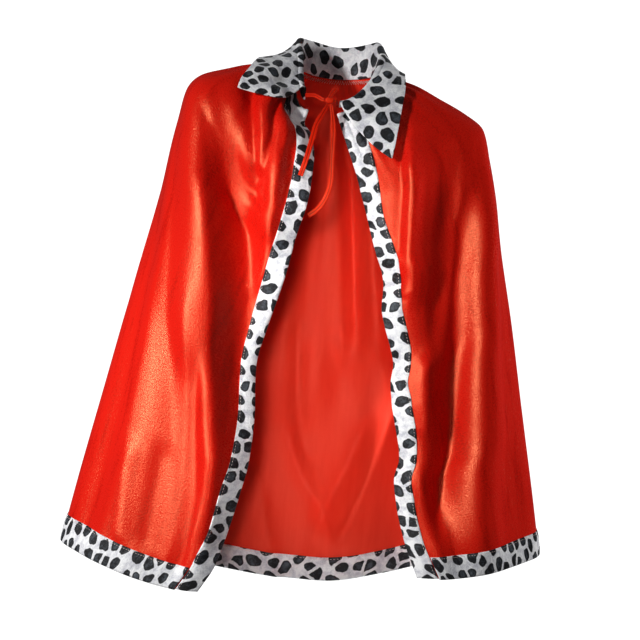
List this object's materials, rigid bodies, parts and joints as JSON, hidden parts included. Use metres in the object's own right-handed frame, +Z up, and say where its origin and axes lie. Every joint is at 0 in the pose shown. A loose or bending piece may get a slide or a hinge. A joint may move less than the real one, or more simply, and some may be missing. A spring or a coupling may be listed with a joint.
{
  "type": "king costume cape",
  "caption": "Long open-fronted costume cape in pile cloth, with a spotted plush collar, matching front and hem bands, and a narrow ribbon tie at the neck.",
  "frame": {"origin": "middle of the neck opening, where a wearer's neck holds the cape up", "axes": "+Z up, the open front faces -Y, +X to the right as seen from the front"},
  "size_m": [0.6511, 0.2323, 0.7585],
  "materials": {
    "velvet": "short pile velvet with a satin sheen",
    "spotted_plush": "white short pile plush with near-black oval spots",
    "ribbon": "satin ribbon"
  },
  "bodies": {
    "root": {"back": "velvet", "front_left": "velvet", "front_right": "velvet", "edge_trim_left": "spotted_plush", "edge_trim_right": "spotted_plush", "hem_trim": "spotted_plush", "collar": "spotted_plush", "tie_strap_left": "ribbon", "tie_strap_right": "ribbon", "tie_knot": "ribbon", "tie_loop": "ribbon", "tie_tail_left": "ribbon", "tie_tail_right": "ribbon"}
  },
  "joints": []
}
